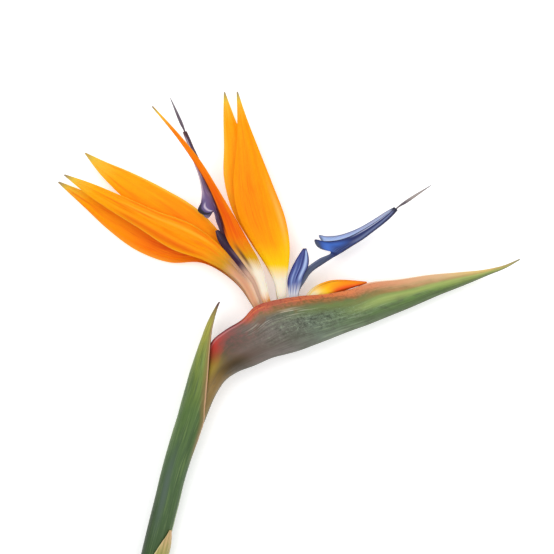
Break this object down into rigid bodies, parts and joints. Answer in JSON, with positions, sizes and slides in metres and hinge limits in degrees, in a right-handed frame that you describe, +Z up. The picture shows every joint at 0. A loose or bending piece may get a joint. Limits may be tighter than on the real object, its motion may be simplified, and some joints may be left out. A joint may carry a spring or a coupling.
{
  "type": "bird of paradise flower",
  "caption": "Bird of paradise flower, picked and lying on its side: orange sepals and blue arrow-shaped petals rise from a long pointed spathe on a sheathed stem.",
  "frame": {"origin": "middle of the small flat spot under the spathe, on the surface that the flower lies on", "axes": "+X along the spathe towards its tip, +Y the way the upright sepals point, +Z up from the surface that the flower lies on"},
  "size_m": [0.2554, 0.3114, 0.0243],
  "materials": {
    "sepal": "satin",
    "petal_blue": "satin",
    "petal_purple": "satin",
    "pale_flesh": "satin",
    "spathe": "satin",
    "stem": "satin",
    "bract_straw": "matte"
  },
  "bodies": {
    "root": {"scape": "stem", "sheath_upper": "stem", "sheath_lower": "bract_straw", "spathe": "spathe", "style_left": "pale_flesh", "style_right": "pale_flesh", "ovary_left": "pale_flesh", "ovary_right": "pale_flesh", "bud_emerging": "sepal", "sepal_left_back": "sepal", "sepal_left_front": "sepal", "sepal_left_low": "sepal", "sepal_narrow": "sepal", "sepal_upright_back": "sepal", "sepal_upright_front": "sepal", "hood_petal_left": "petal_purple", "hood_petal_right": "petal_blue", "arrow_petals_left": "petal_purple", "arrow_petals_right": "petal_blue"}
  },
  "joints": []
}
